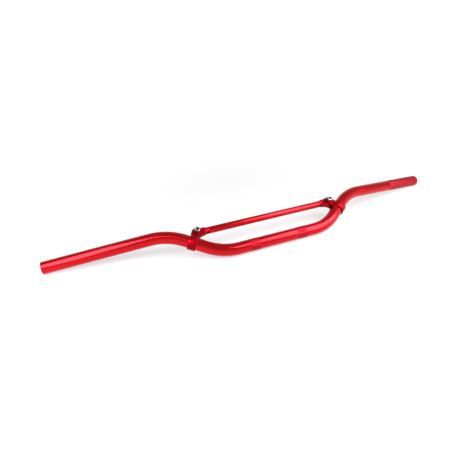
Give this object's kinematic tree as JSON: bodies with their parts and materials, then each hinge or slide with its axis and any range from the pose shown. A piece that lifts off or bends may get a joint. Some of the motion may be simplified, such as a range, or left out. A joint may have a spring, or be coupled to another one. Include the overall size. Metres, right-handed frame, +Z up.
{
  "type": "motocross handlebar",
  "caption": "Bent alloy handlebar with raised risers, swept grip ends and a bolted crossbar between the risers, lying as it comes to rest.",
  "frame": {"origin": "middle of the straight clamp section, on the tube's axis", "axes": "+X along the clamp section to the rider's left grip, +Y across the table from the clamp section towards the crossbar and the grip ends, +Z up from the table that the bar lies on"},
  "size_m": [0.8038, 0.1074, 0.0474],
  "materials": {
    "tube_red": "red anodised, satin gloss, knurled bands and a rough grip zone",
    "crossbar_red": "red anodised, satin gloss",
    "forged_red": "red anodised over a tumbled forging",
    "zinc_steel": "bright zinc plated"
  },
  "bodies": {
    "root": {"main_tube": "tube_red", "crossbar_tube": "crossbar_red", "crossbar_lug_left": "forged_red", "crossbar_clamp_left": "forged_red", "clamp_bolt_left": "zinc_steel", "clamp_nut_left": "zinc_steel", "crossbar_lug_right": "forged_red", "crossbar_clamp_right": "forged_red", "clamp_bolt_right": "zinc_steel", "clamp_nut_right": "zinc_steel"}
  },
  "joints": []
}
